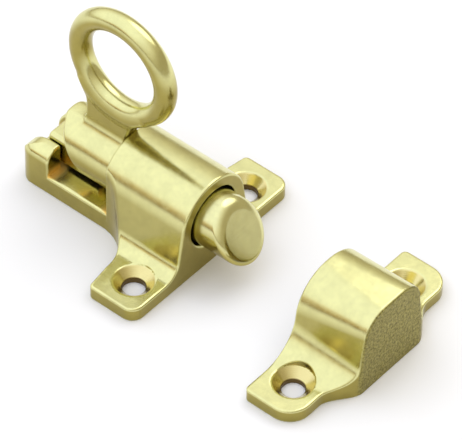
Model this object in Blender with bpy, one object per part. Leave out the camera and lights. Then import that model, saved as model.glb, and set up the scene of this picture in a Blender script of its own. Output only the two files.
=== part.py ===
"""Fanlight catch: a cast brass body with a sprung bolt and a ring pull, and its separate keep.

The origin lies on the mounting face, midway between the body's two screw holes.
+X is the way the bolt shoots, towards the keep, and +Z is away from the window frame.
"""

import math

import bmesh
import bpy

MM = 0.001

# Body casting: the base plate with its two ears, and the tail behind them
SCREW_PITCH = 32.0 * MM
SCREW_HOLE_DIAMETER = 4.4 * MM
COUNTERSINK_DIAMETER = 8.0 * MM
COUNTERSINK_ANGLE = math.radians(90)
EAR_MARGIN = 6.5 * MM
HOLE_SETBACK = 5.6 * MM
EAR_DEPTH = 11.2 * MM
EAR_THICKNESS = 3.0 * MM
EAR_FRONT_CORNER = 2.6 * MM
EAR_REAR_CORNER = 1.1 * MM
EAR_REAR_TURN = 75
EAR_REAR_LEAN = 0.7 * MM
SWEEP_RADIUS = 9.0 * MM
TAIL_WIDTH = 15.2 * MM
TAIL_THICKNESS = 4.3 * MM
TAIL_CORNER = 2.6 * MM
BODY_LENGTH = 42.0 * MM
PLATE_EDGE_ROUND = 0.6 * MM

# Barrel that stands on the base plate
BARREL_DIAMETER = 17.6 * MM
BARREL_DRAFT = 10
BARREL_LENGTH = 20.0 * MM
BARREL_EDGE_ROUND = 0.5 * MM
BARREL_BLEND_RADIUS = 3.0 * MM
BORE_CHAMFER = 0.35 * MM
REAR_WALL = 3.0 * MM

# Forked lug at the end of the tail
LUG_LENGTH = 7.5 * MM
LUG_BELOW_AXIS = 1.4 * MM
LUG_BACK_ROUND = 5.0 * MM
LUG_FRONT_ROUND = 0.8 * MM
LUG_SIDE_ROUND = 2.2 * MM
FORK_WIDTH = 7.2 * MM

# Bolt: the bevelled nose and the thinner shank behind it
NOSE_DIAMETER = 11.6 * MM
NOSE_REACH = 7.2 * MM
NOSE_BEVEL = math.radians(29.5)
NOSE_EDGE_ROUND = 1.3 * MM
NOSE_LENGTH_IN_BARREL = 6.5 * MM
SHANK_DIAMETER = 5.0 * MM
SHANK_IN_BLOCK = 7.0 * MM
SHANK_CHAMFER = 0.4 * MM

# Ring pull: the block that slides behind the barrel, the web and the ring above it
BLOCK_LIFT = 0.8 * MM
BLOCK_DIAMETER = 12.4 * MM
BLOCK_LENGTH = 10.2 * MM
BLOCK_BEVEL = math.radians(34)
BLOCK_EDGE_ROUND = 0.7 * MM
RING_DIAMETER = 25.0 * MM
RING_SECTION = 4.4 * MM
RING_LIFT = 5.4 * MM
RING_BEHIND_BARREL = 2.1 * MM
WEB_THICKNESS = 3.6 * MM
WEB_LENGTH = 8.0 * MM
WEB_OFFSET = 3.3 * MM
WEB_FRONT_ANGLE = 284
WEB_REAR_ANGLE = 218
WEB_EDGE_ROUND = 0.8 * MM
WEB_HEEL = 4.4 * MM
WEB_HEEL_SINK = 0.5 * MM
TONGUE_LIFT = 0.9 * MM
TONGUE_HEIGHT = 5.4 * MM
TONGUE_REACH = 7.6 * MM
TONGUE_CROWN = 1.2 * MM
TONGUE_EDGE_ROUND = 0.6 * MM
PIN_DIAMETER = 1.8 * MM
PIN_SETBACK = 3.6 * MM

# Compression spring round the shank
SPRING_WIRE = 0.8 * MM
SPRING_DIAMETER = 8.6 * MM
SPRING_TURNS = 5.5

# Keep: a hollow arch between two ears
KEEP_GAP = 26.9 * MM
KEEP_EAR_MARGIN = 7.1 * MM
KEEP_EAR_DEPTH = 11.5 * MM
KEEP_DEPTH = 15.4 * MM
KEEP_EAR_THICKNESS = 2.8 * MM
KEEP_HOLE_SETBACK = 5.7 * MM
KEEP_FRONT_CORNER = 4.6 * MM
KEEP_CROWN_WALL = 0.9 * MM
KEEP_FALL = 0.4 * MM
KEEP_DRAFT = 8
KEEP_MOUTH_WIDTH = 18.2 * MM
KEEP_MOUTH_CORNER = 8.6 * MM
KEEP_MOUTH_BLEND = 7.0 * MM
KEEP_END_WIDTH = 15.8 * MM
KEEP_END_CORNER = 5.2 * MM
KEEP_END_BLEND = 4.6 * MM
KEEP_SHOULDER = 7.6 * MM
KEEP_END_WALL = 2.4 * MM

# Clearances
SLIDE_CLEARANCE = 0.4 * MM
FIT_CLEARANCE = 0.3 * MM
BORE_CLEARANCE = 0.75 * MM
KEEP_CLEARANCE = 0.5 * MM
OVERCUT = 1.0 * MM
SINK = 0.15 * MM
ON_AXIS = 0.001 * MM

# Facets
ARC_STEPS = 14
FULL_TURN_STEPS = 56
RING_STEPS = 60
ROUND_STEPS = 4
TAIL_CORNER_STEPS = 7
LUG_CORNER_STEPS = 6
WIRE_STEPS = 8
SPRING_STEPS_PER_TURN = 20

# Places that follow from the sizes above
axis_height = TAIL_THICKNESS + BLOCK_LIFT + BLOCK_DIAMETER / 2
ring_height = axis_height + (BLOCK_DIAMETER + RING_DIAMETER) / 2 + RING_LIFT
lug_top = axis_height - LUG_BELOW_AXIS
half_pocket = NOSE_DIAMETER / 2 + KEEP_CLEARANCE
keep_top = axis_height + half_pocket + KEEP_CROWN_WALL
front_x = HOLE_SETBACK
barrel_rear_x = front_x - BARREL_LENGTH
tail_rear_x = front_x - BODY_LENGTH
lug_front_x = tail_rear_x + LUG_LENGTH
bore_end_x = barrel_rear_x + REAR_WALL
block_front_x = barrel_rear_x - SLIDE_CLEARANCE
block_rear_x = block_front_x - BLOCK_LENGTH
shoulder_x = front_x - NOSE_LENGTH_IN_BARREL
nose_tip_x = front_x + NOSE_REACH
ring_x = barrel_rear_x - RING_BEHIND_BARREL
keep_mouth_x = front_x + KEEP_GAP
keep_end_x = keep_mouth_x + KEEP_DEPTH


def clear_scene():
    for old in list(bpy.data.objects):
        bpy.data.objects.remove(old, do_unlink=True)


def brass(name, colour, roughness):
    material = bpy.data.materials.new(name)
    material.use_nodes = True
    shader = material.node_tree.nodes["Principled BSDF"]
    shader.inputs["Base Color"].default_value = (*colour, 1.0)
    shader.inputs["Metallic"].default_value = 1.0
    shader.inputs["Roughness"].default_value = roughness
    return material


def arc(centre, radius, start, end, steps=ARC_STEPS):
    """Points on a circular arc, with the angles in degrees."""
    points = []
    for step in range(steps + 1):
        angle = math.radians(start + (end - start) * step / steps)
        x = centre[0] + radius * math.cos(angle)
        y = centre[1] + radius * math.sin(angle)
        points.append((x, y))
    return points


def curve(start, pull, end, steps=ARC_STEPS):
    """Points on a quadratic curve from start to end, drawn towards pull."""
    points = []
    for step in range(steps + 1):
        t = step / steps
        weights = ((1 - t) ** 2, 2 * t * (1 - t), t**2)
        x = weights[0] * start[0] + weights[1] * pull[0] + weights[2] * end[0]
        y = weights[0] * start[1] + weights[1] * pull[1] + weights[2] * end[1]
        points.append((x, y))
    return points


def both_sides(half):
    """The closed outline made of half a plan, with Y above zero, and its mirror image."""
    return half + [(x, -y) for x, y in reversed(half) if y > ON_AXIS]


def both_flanks(half):
    """The closed outline made of half an end view, with Y above zero, and its mirror image."""
    return half + [(-y, z) for y, z in reversed(half) if y > ON_AXIS]


def mixed(first, second, share):
    """The point a given share of the way from the first point to the second."""
    return tuple(a + (b - a) * share for a, b in zip(first, second))


def inset(outline, distance):
    """The outline moved inwards by a distance, each corner along the bisector of its two sides."""
    count = len(outline)
    area = sum(
        outline[i - 1][0] * outline[i][1] - outline[i][0] * outline[i - 1][1] for i in range(count)
    )
    turn = 1.0 if area > 0 else -1.0
    moved = []
    for i in range(count):
        before, here, after = outline[i - 1], outline[i], outline[(i + 1) % count]
        first = (here[0] - before[0], here[1] - before[1])
        second = (after[0] - here[0], after[1] - here[1])
        first_length = math.hypot(*first)
        second_length = math.hypot(*second)
        normal_a = (-first[1] / first_length * turn, first[0] / first_length * turn)
        normal_b = (-second[1] / second_length * turn, second[0] / second_length * turn)
        across = 1 + normal_a[0] * normal_b[0] + normal_a[1] * normal_b[1]
        shift_x = (normal_a[0] + normal_b[0]) / across
        shift_y = (normal_a[1] + normal_b[1]) / across
        moved.append((here[0] + shift_x * distance, here[1] + shift_y * distance))
    return moved


def rounding(radius, steps=ROUND_STEPS):
    """Pairs of (inset, distance short of the end) that follow a quarter circle."""
    pairs = []
    for step in range(steps + 1):
        angle = math.pi / 2 * step / steps
        pairs.append((radius * (1 - math.cos(angle)), radius * (1 - math.sin(angle))))
    return pairs


def loft(name, rings, material, closed_path=False):
    """A solid skinned over rings of points, with a cap on each end unless the path is closed."""
    mesh = bpy.data.meshes.new(name)
    shape = bmesh.new()
    loops = [[shape.verts.new(point) for point in ring] for ring in rings]
    pairs = list(zip(loops[:-1], loops[1:]))
    if closed_path:
        pairs.append((loops[-1], loops[0]))
    else:
        shape.faces.new(loops[0])
        shape.faces.new(list(reversed(loops[-1])))
    for low, high in pairs:
        for i in range(len(low)):
            j = (i + 1) % len(low)
            shape.faces.new((low[j], low[i], high[i], high[j]))
    bmesh.ops.recalc_face_normals(shape, faces=shape.faces)
    shape.to_mesh(mesh)
    shape.free()
    mesh.shade_smooth()
    mesh.set_sharp_from_angle(angle=math.radians(35))
    mesh.materials.append(material)
    item = bpy.data.objects.new(name, mesh)
    bpy.context.scene.collection.objects.link(item)
    return item


def end_rings(low, high, low_round, high_round):
    """Stations (position, inset) along a prism whose two end edges are rounded."""
    stations = []
    if low_round:
        stations += [(low + short, inwards) for inwards, short in reversed(rounding(low_round))]
    else:
        stations.append((low, 0.0))
    if high_round:
        stations += [(high - short, inwards) for inwards, short in rounding(high_round)]
    else:
        stations.append((high, 0.0))
    return stations


def prism_z(name, outline, low, high, material, low_round=0.0, high_round=0.0):
    """An outline in X and Y drawn up along Z."""
    rings = []
    for z, inwards in end_rings(low, high, low_round, high_round):
        rings.append([(x, y, z) for x, y in inset(outline, inwards)])
    return loft(name, rings, material)


def prism_x(name, outline, low, high, material, low_round=0.0, high_round=0.0):
    """An outline in Y and Z drawn along X."""
    rings = []
    for x, inwards in end_rings(low, high, low_round, high_round):
        rings.append([(x, y, z) for y, z in inset(outline, inwards)])
    return loft(name, rings, material)


def prism_y(name, outline, low, high, material, low_round=0.0, high_round=0.0):
    """An outline in X and Z drawn along Y."""
    rings = []
    for y, inwards in end_rings(low, high, low_round, high_round):
        rings.append([(x, y, z) for x, z in inset(outline, inwards)])
    return loft(name, rings, material)


def turned_x(name, stations, material, steps=FULL_TURN_STEPS):
    """A bar turned about the bolt's axis, skinned over stations (x, radius, lean).

    The lean is how far a station's x falls for each unit that its rim rises.
    """
    rings = []
    for x, radius, lean in stations:
        ring = []
        for step in range(steps):
            angle = 2 * math.pi * step / steps
            rise = radius * math.sin(angle)
            ring.append((x - lean * rise, radius * math.cos(angle), axis_height + rise))
        rings.append(ring)
    return loft(name, rings, material)


def turned_z(name, centre, stations, material, steps=FULL_TURN_STEPS):
    """A shape turned about an upright axis. A station is (z, radius)."""
    rings = []
    for z, radius in stations:
        rings.append([(x, y, z) for x, y in arc(centre, radius, 0, 360, steps)[:-1]])
    return loft(name, rings, material)


def combine(item, other, operation):
    """Joins another shape to this one, or cuts it away, and keeps that shape as a hidden helper."""
    modifier = item.modifiers.new(other.name, "BOOLEAN")
    modifier.operation = operation
    modifier.solver = "EXACT"
    modifier.object = other
    other.hide_render = True
    other.display_type = "WIRE"


def base_outline(ear_front, tail_half):
    """Half of the body's plan: the ear, the concave sweep and the tail."""
    ear_half = SCREW_PITCH / 2 + EAR_MARGIN
    ear_back = front_x - EAR_DEPTH
    sweep_x = ear_back - EAR_REAR_LEAN - SWEEP_RADIUS
    front_corner = (ear_front - EAR_FRONT_CORNER, ear_half - EAR_FRONT_CORNER)
    rear_corner = (ear_back + EAR_REAR_CORNER, ear_half - EAR_REAR_CORNER)
    half = arc(front_corner, EAR_FRONT_CORNER, 0, 90, ARC_STEPS // 2)
    half += arc(rear_corner, EAR_REAR_CORNER, 90, 90 + EAR_REAR_TURN, ARC_STEPS // 2)
    half += arc((sweep_x, tail_half + SWEEP_RADIUS), SWEEP_RADIUS, 0, -90, ARC_STEPS + ROUND_STEPS)
    half.append(((tail_rear_x + lug_front_x) / 2, tail_half))
    return both_sides(half)


def arch_profile(half_width, corner, top, ear_top, draft, blend):
    """The end view of an arch: a rounded crown, drafted sides and concave blends onto the ears.

    With a corner as large as the half width the crown is a half circle, and a smaller one leaves
    it flat in the middle.
    """
    foot = ear_top - SINK
    centre = (half_width - corner, top - corner)
    side_lean = math.radians(draft)
    climb = foot + blend - centre[1]
    blend_y = centre[0] + (corner + blend - math.sin(side_lean) * climb) / math.cos(side_lean)
    half = [(blend_y, foot / 2)]
    half += arc((blend_y, foot + blend), blend, -90, draft - 2 * 90)
    half += arc(centre, corner, draft, 90)
    return both_flanks(half)


def screw_hole(name, x, y, thickness, material):
    """A countersunk clearance hole, cut from above."""
    through = SCREW_HOLE_DIAMETER / 2
    head = COUNTERSINK_DIAMETER / 2
    cone = (head - through) / math.tan(COUNTERSINK_ANGLE / 2)
    stations = [
        (-OVERCUT, through),
        (thickness - cone, through),
        (thickness, head),
        (thickness + axis_height, head),
    ]
    return turned_z(name, (x, y), stations, material, FULL_TURN_STEPS // 2 + 4)


def keep_to_plan(item, plan, material):
    """Trims a shape to what lies over a plan outline."""
    over = prism_z(item.name + "_plan", plan, -OVERCUT, axis_height * 3, material)
    combine(item, over, "INTERSECT")


def lug_profile():
    """The lug from the side: upright in front, well rounded at the back."""
    back = (tail_rear_x + LUG_BACK_ROUND, lug_top - LUG_BACK_ROUND)
    front = (lug_front_x - LUG_FRONT_ROUND, lug_top - LUG_FRONT_ROUND)
    foot = TAIL_THICKNESS / 2
    points = [(lug_front_x, foot)]
    points += arc(front, LUG_FRONT_ROUND, 0, 90, ROUND_STEPS)
    points += arc(back, LUG_BACK_ROUND, 90, 180)
    return points + [(tail_rear_x, foot)]


def tail_outline(start, steps):
    """The tail's plan. The lug's takes other steps, so that no edge of one lies on the other's."""
    half_width = TAIL_WIDTH / 2
    corner = (tail_rear_x + TAIL_CORNER, half_width - TAIL_CORNER)
    return both_sides([(start, half_width)] + arc(corner, TAIL_CORNER, 90, 180, steps))


def forked_lug(material):
    """Two prongs with crowned tops, and between them the slot that guides the ring pull."""
    half = TAIL_WIDTH / 2 - SINK
    half_fork = FORK_WIDTH / 2
    lug = prism_y("lug", lug_profile(), -half, half, material)
    crown = arc((half - LUG_SIDE_ROUND, lug_top - LUG_SIDE_ROUND), LUG_SIDE_ROUND, 0, 90)
    shoulder = (half + OVERCUT, lug_top - LUG_SIDE_ROUND)
    end_view = both_flanks([(half + OVERCUT, 0.0), shoulder] + crown)
    low = tail_rear_x - OVERCUT
    high = lug_front_x + OVERCUT
    combine(lug, prism_x("lug_crown", end_view, low, high, material), "INTERSECT")
    plan = tail_outline(lug_front_x + OVERCUT, LUG_CORNER_STEPS)
    keep_to_plan(lug, inset(plan, SINK), material)
    slot = both_flanks([(half_fork, 0.0), (half_fork, lug_top + OVERCUT)])
    combine(lug, prism_x("fork_slot", slot, low, high, material), "DIFFERENCE")
    return lug


def body_casting(material):
    """Base plate, barrel, tail and forked lug, cast in one piece."""
    tail_half = TAIL_WIDTH / 2
    plan = base_outline(front_x, tail_half - SINK)
    body = prism_z("body_casting", plan, -OVERCUT, EAR_THICKNESS, material, 0.0, PLATE_EDGE_ROUND)

    radius = BARREL_DIAMETER / 2
    profile = arch_profile(
        radius, radius, axis_height + radius, EAR_THICKNESS, BARREL_DRAFT, BARREL_BLEND_RADIUS
    )
    barrel = prism_x(
        "barrel", profile, barrel_rear_x, front_x, material, BARREL_EDGE_ROUND, BARREL_EDGE_ROUND
    )
    keep_to_plan(barrel, inset(base_outline(front_x + OVERCUT, tail_half), SINK), material)
    combine(body, barrel, "UNION")

    bore = NOSE_DIAMETER / 2 + BORE_CLEARANCE
    shank_hole = SHANK_DIAMETER / 2 + FIT_CLEARANCE
    stations = [
        (barrel_rear_x - OVERCUT, shank_hole, 0.0),
        (bore_end_x, shank_hole, 0.0),
        (bore_end_x, bore, 0.0),
        (front_x - BORE_CHAMFER, bore, 0.0),
        (front_x + OVERCUT, bore + BORE_CHAMFER + OVERCUT, 0.0),
    ]
    combine(body, turned_x("bore", stations, material), "DIFFERENCE")

    for side in (-1, 1):
        hole = screw_hole(
            f"body_screw_hole_{side}", 0.0, side * SCREW_PITCH / 2, EAR_THICKNESS, material
        )
        combine(body, hole, "DIFFERENCE")

    tail_plan = tail_outline(barrel_rear_x + REAR_WALL / 2, TAIL_CORNER_STEPS)
    tail = prism_z("tail", tail_plan, -OVERCUT / 2, TAIL_THICKNESS, material, 0.0, PLATE_EDGE_ROUND)
    combine(tail, forked_lug(material), "UNION")
    combine(body, tail, "UNION")

    edge = BODY_LENGTH
    square = [(edge, edge), (-edge, edge), (-edge, -edge), (edge, -edge)]
    combine(body, prism_z("mounting_cut", square, -edge, 0.0, material), "DIFFERENCE")
    return body


def sliding_bolt(material):
    """Nose and shank, turned in one piece, with the nose cut to a bevel."""
    nose = NOSE_DIAMETER / 2
    shank = SHANK_DIAMETER / 2
    shank_end = block_front_x - SHANK_IN_BLOCK
    lean = math.tan(NOSE_BEVEL)
    stations = [
        (shank_end, shank - SHANK_CHAMFER, 0.0),
        (shank_end + SHANK_CHAMFER, shank, 0.0),
        (shoulder_x, shank, 0.0),
        (shoulder_x, nose - SHANK_CHAMFER, 0.0),
        (shoulder_x + SHANK_CHAMFER, nose, 0.0),
    ]
    for inwards, short in rounding(NOSE_EDGE_ROUND, ROUND_STEPS + 2):
        stations.append((nose_tip_x - short, nose - inwards, lean))
    bolt = turned_x("bolt", stations, material)

    reach = SHANK_DIAMETER / 2 + OVERCUT
    hole = PIN_DIAMETER / 2 + FIT_CLEARANCE
    cross_hole = turned_z(
        "shank_pin_hole", (block_front_x - PIN_SETBACK, 0.0),
        [(axis_height - reach, hole), (axis_height + reach, hole)],
        material, FULL_TURN_STEPS // 4,
    )
    combine(bolt, cross_hole, "DIFFERENCE")
    return bolt


def pull_web(material):
    """The web that carries the ring on the block, drawn into both by concave sides."""
    ring_mean = (RING_DIAMETER - RING_SECTION) / 2
    middle = ring_x - WEB_OFFSET
    front = middle + WEB_LENGTH / 2
    rear = middle - WEB_LENGTH / 2
    foot = axis_height + BLOCK_DIAMETER / 4
    waist = axis_height + BLOCK_DIAMETER / 2 + RING_SECTION
    centre = (ring_x, ring_height)
    under_ring = arc(centre, ring_mean, WEB_FRONT_ANGLE, WEB_REAR_ANGLE, ROUND_STEPS)
    outline = curve((front, foot), (front, waist), under_ring[0], ROUND_STEPS)
    outline += under_ring[1:]
    outline += curve(under_ring[-1], (rear, waist), (rear, foot), ROUND_STEPS)[1:]
    half = WEB_THICKNESS / 2
    return prism_y("web", outline, -half, half, material, WEB_EDGE_ROUND, WEB_EDGE_ROUND)


def web_heel(material):
    """The concave foot that runs from the back of the web along the top of the block."""
    rear = ring_x - WEB_OFFSET - WEB_LENGTH / 2
    waist = axis_height + BLOCK_DIAMETER / 2 + RING_SECTION
    low = axis_height + BLOCK_DIAMETER / 2 - WEB_HEEL_SINK
    outline = curve((rear, waist), (rear, low), (rear - WEB_HEEL, low))
    inside = rear + WEB_LENGTH / 4
    outline += [(inside, axis_height + BLOCK_DIAMETER / 4), (inside, waist)]
    half = (WEB_THICKNESS - WEB_EDGE_ROUND) / 2
    return prism_y("web_heel", outline, -half, half, material)


def pull_ring(material):
    """The round finger ring, standing in the plane of the bolt's axis."""
    section = RING_SECTION / 2
    mean = (RING_DIAMETER - RING_SECTION) / 2
    rings = []
    for step in range(RING_STEPS):
        angle = 2 * math.pi * step / RING_STEPS
        ring = []
        for out, across in arc((mean, 0.0), section, 0, 360, ARC_STEPS)[:-1]:
            x = ring_x + out * math.cos(angle)
            z = ring_height + out * math.sin(angle)
            ring.append((x, across, z))
        rings.append(ring)
    return loft("ring", rings, material, closed_path=True)


def pull_tongue(material):
    """The flat tongue that rides in the fork and keeps the ring upright."""
    half = FORK_WIDTH / 2 - FIT_CLEARANCE
    low = TAIL_THICKNESS + TONGUE_LIFT
    high = low + TONGUE_HEIGHT
    corner = (half - TONGUE_CROWN, high - TONGUE_CROWN)
    profile = both_flanks([(half, low)] + arc(corner, TONGUE_CROWN, 0, 90, ROUND_STEPS))
    rear = block_rear_x - TONGUE_REACH
    front = block_rear_x + BLOCK_LENGTH / 2
    return prism_x("tongue", profile, rear, front, material, TONGUE_EDGE_ROUND, 0.0)


def ring_pull(material):
    """Block, web, ring and tongue, cast in one piece and drilled for the shank and its pin."""
    radius = BLOCK_DIAMETER / 2
    lean = math.tan(BLOCK_BEVEL)
    stations = []
    for inwards, short in reversed(rounding(BLOCK_EDGE_ROUND)):
        stations.append((block_rear_x + short, radius - inwards, lean))
    for inwards, short in rounding(BLOCK_EDGE_ROUND):
        stations.append((block_front_x - short, radius - inwards, 0.0))
    pull = turned_x("ring_pull", stations, material)
    combine(pull, pull_web(material), "UNION")
    combine(pull, web_heel(material), "UNION")
    combine(pull, pull_ring(material), "UNION")
    combine(pull, pull_tongue(material), "UNION")

    socket = SHANK_DIAMETER / 2 + FIT_CLEARANCE
    socket_end = block_front_x - SHANK_IN_BLOCK - FIT_CLEARANCE
    stations = [(socket_end, socket, 0.0), (block_front_x + OVERCUT, socket, 0.0)]
    combine(pull, turned_x("shank_socket", stations, material), "DIFFERENCE")

    hole = PIN_DIAMETER / 2 + FIT_CLEARANCE
    stations = [(axis_height - radius - OVERCUT, hole), (pin_top() + FIT_CLEARANCE, hole)]
    pin_hole = turned_z(
        "block_pin_hole", (block_front_x - PIN_SETBACK, 0.0), stations, material,
        FULL_TURN_STEPS // 4,
    )
    combine(pull, pin_hole, "DIFFERENCE")
    return pull


def pin_top():
    return axis_height + SHANK_DIAMETER / 2 + FIT_CLEARANCE


def retaining_pin(material):
    """The pin that holds the ring pull on the shank, driven in from underneath."""
    radius = PIN_DIAMETER / 2
    bottom = axis_height - BLOCK_DIAMETER / 2 + FIT_CLEARANCE
    stations = [(bottom, radius), (pin_top(), radius)]
    centre = (block_front_x - PIN_SETBACK, 0.0)
    return turned_z("retaining_pin", centre, stations, material, FULL_TURN_STEPS // 4)


def bolt_spring(material):
    """A coil spring round the shank, between the barrel's rear wall and the bolt's shoulder."""
    wire = SPRING_WIRE / 2
    mean = (SPRING_DIAMETER - SPRING_WIRE) / 2
    first = bore_end_x + FIT_CLEARANCE + wire
    last = shoulder_x - FIT_CLEARANCE - wire
    count = int(SPRING_TURNS * SPRING_STEPS_PER_TURN)
    rings = []
    for step in range(count + 1):
        share = step / count
        angle = 2 * math.pi * SPRING_TURNS * share
        x = first + (last - first) * share
        ring = []
        for out, along in arc((0.0, 0.0), wire, 0, 360, WIRE_STEPS)[:-1]:
            y = (mean + out) * math.cos(angle)
            z = axis_height + (mean + out) * math.sin(angle)
            ring.append((x + along, y, z))
        rings.append(ring)
    return loft("bolt_spring", rings, material)


def keep_outline(end_x):
    """Half of the keep's plan: the ear, then an S curve out to the end of the arch."""
    ear_half = SCREW_PITCH / 2 + KEEP_EAR_MARGIN
    ear_front = keep_mouth_x + KEEP_EAR_DEPTH
    shoulder_start = KEEP_END_WIDTH / 2
    half = [(end_x, 0.0)]
    for step in range(ARC_STEPS + 1):
        share = step / ARC_STEPS
        ease = share * share * (3 - 2 * share)
        half.append((end_x + (ear_front - end_x) * ease, shoulder_start + KEEP_SHOULDER * share))
    front_corner = (ear_front - KEEP_FRONT_CORNER, ear_half - KEEP_FRONT_CORNER)
    half += arc(front_corner, KEEP_FRONT_CORNER, 0, 90)
    corner = (keep_mouth_x + EAR_REAR_CORNER, ear_half - EAR_REAR_CORNER)
    half += arc(corner, EAR_REAR_CORNER, 90, 180, ROUND_STEPS)
    mirrored = [(x, -y) for x, y in reversed(half[1:])]
    return half + mirrored


def keep_arch(material):
    """The arch, wide at its mouth and narrower and flatter at its far end."""
    mouth = arch_profile(
        KEEP_MOUTH_WIDTH / 2, KEEP_MOUTH_CORNER, keep_top, KEEP_EAR_THICKNESS, KEEP_DRAFT,
        KEEP_MOUTH_BLEND,
    )
    end = arch_profile(
        KEEP_END_WIDTH / 2, KEEP_END_CORNER, keep_top - KEEP_FALL, KEEP_EAR_THICKNESS, KEEP_DRAFT,
        KEEP_END_BLEND,
    )
    stations = end_rings(keep_mouth_x + SINK, keep_end_x + OVERCUT, BARREL_EDGE_ROUND, 0.0)
    rings = []
    for x, inwards in stations:
        share = (x - keep_mouth_x) / KEEP_DEPTH
        ring = inset([mixed(a, b, share) for a, b in zip(mouth, end)], inwards)
        rings.append([(x, y, z) for y, z in ring])
    return loft("keep_arch", rings, material)


def keep_casting(material):
    """Hollow arch with two screwed ears, open towards the bolt and underneath."""
    plan = keep_outline(keep_end_x)
    keep = prism_z("keep", plan, 0.0, KEEP_EAR_THICKNESS, material, 0.0, PLATE_EDGE_ROUND)

    arch = keep_arch(material)
    keep_to_plan(arch, inset(keep_outline(keep_end_x), SINK), material)
    combine(keep, arch, "UNION")

    pocket = [(half_pocket, -OVERCUT)] + arc((0.0, axis_height), half_pocket, 0, 90)
    hollow = prism_x(
        "keep_pocket", both_flanks(pocket), keep_mouth_x - OVERCUT, keep_end_x - KEEP_END_WALL,
        material,
    )
    combine(keep, hollow, "DIFFERENCE")

    for side in (-1, 1):
        hole = screw_hole(
            f"keep_screw_hole_{side}", keep_mouth_x + KEEP_HOLE_SETBACK, side * SCREW_PITCH / 2,
            KEEP_EAR_THICKNESS, material,
        )
        combine(keep, hole, "DIFFERENCE")
    return keep


def build():
    clear_scene()
    cast = brass("polished_brass_casting", (0.76, 0.62, 0.26), 0.12)
    drawn = brass("polished_brass_bar", (0.78, 0.66, 0.30), 0.10)
    steel = brass("spring_steel", (0.45, 0.45, 0.46), 0.30)
    body_casting(cast)
    sliding_bolt(drawn)
    ring_pull(cast)
    retaining_pin(drawn)
    bolt_spring(steel)
    keep_casting(cast)


build()
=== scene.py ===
"""The looks of a fanlight catch: polished brass castings, a turned bolt and an upright finger ring.

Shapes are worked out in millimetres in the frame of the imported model, and written in metres.
"""

import math

import bpy
import numpy as np
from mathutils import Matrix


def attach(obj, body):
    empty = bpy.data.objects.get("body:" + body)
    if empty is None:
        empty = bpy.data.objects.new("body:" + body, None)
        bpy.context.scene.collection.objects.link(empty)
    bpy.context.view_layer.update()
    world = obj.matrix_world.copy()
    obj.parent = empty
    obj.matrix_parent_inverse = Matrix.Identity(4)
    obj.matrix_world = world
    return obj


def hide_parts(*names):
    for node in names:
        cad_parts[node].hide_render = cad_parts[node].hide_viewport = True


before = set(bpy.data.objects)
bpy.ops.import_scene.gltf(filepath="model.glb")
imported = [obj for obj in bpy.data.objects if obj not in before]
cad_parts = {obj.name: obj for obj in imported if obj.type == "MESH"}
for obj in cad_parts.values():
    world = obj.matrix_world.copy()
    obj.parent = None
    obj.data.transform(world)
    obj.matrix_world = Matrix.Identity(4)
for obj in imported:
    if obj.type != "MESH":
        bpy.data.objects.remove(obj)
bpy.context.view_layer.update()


# Camera
# A long lens looks down on the catch from the front left, as the photographer's does, with the
# camera turned a degree about its own axis.
MM = 0.001
view_azimuth = math.radians(39.615)
view_elevation = math.radians(45.699)
view_roll = 0.0173
view_target = np.array([10.602, -1.090, 14.459])
view_distance = 797.14
lens_length = 339.7
sensor_width = 36.0

look_back = np.array([
    math.sin(view_azimuth) * math.cos(view_elevation),
    -math.cos(view_azimuth) * math.cos(view_elevation),
    math.sin(view_elevation),
])
level_right = np.array([math.cos(view_azimuth), math.sin(view_azimuth), 0.0])
level_up = np.cross(look_back, level_right)
right = math.cos(view_roll) * level_right + math.sin(view_roll) * level_up
up = math.cos(view_roll) * level_up - math.sin(view_roll) * level_right


def placing(side, top, back, place):
    """The matrix of an object whose own axes point these three ways, at a place in millimetres.

    The ways and the place are its columns, which Blender takes one after the other.
    """
    matrix = np.eye(4)
    matrix[:3] = np.stack([side, top, back, np.array(place) * MM], 1)
    return matrix.T.tolist()


camera = bpy.data.objects.new("camera", bpy.data.cameras.new("camera"))
camera.data.lens = lens_length
camera.data.sensor_width = sensor_width
camera.data.clip_start = 0.01
camera.data.clip_end = 50.0
camera.matrix_world = placing(right, up, look_back, view_target + look_back * view_distance)
bpy.context.scene.collection.objects.link(camera)
bpy.context.scene.camera = camera
bpy.context.scene.view_settings.view_transform = "Standard"


# Floor and light
# A white table in a photographer's tent of pale cloth, lit brightest from the front left, with a dim
# opening low on that side, and one soft lamp high at the back that throws the shadow.
floor_half = 1500.0
floor_drop = 0.02
floor_colour = (0.94, 0.94, 0.945, 1.0)
tent_hem_foot = 0.0
tent_hem_top = 0.22
tent_plain = 0.06
tent_hem_strength = 0.46
tent_bright_side = (-0.45, -0.33, 0.83)
tent_bright_rim = -0.10
tent_bright_core = 0.93
tent_bright_extra = 0.82
tent_opening_side = (-0.44, -0.897, 0.03)
tent_opening_rim = 0.95
tent_opening_core = 0.993
tent_opening_dimming = -0.40
tent_opening_colour = (1.0, 0.74, 0.40, 1.0)
tent_shade_colour = (1.0, 0.88, 0.62, 1.0)
tent_bright_colour = (0.95, 0.98, 1.08, 1.0)
lamp_place = (60.0, 420.0, 560.0)
lamp_aim = (5.0, 0.0, 10.0)
lamp_width = 560.0
lamp_power = 1.15

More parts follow.
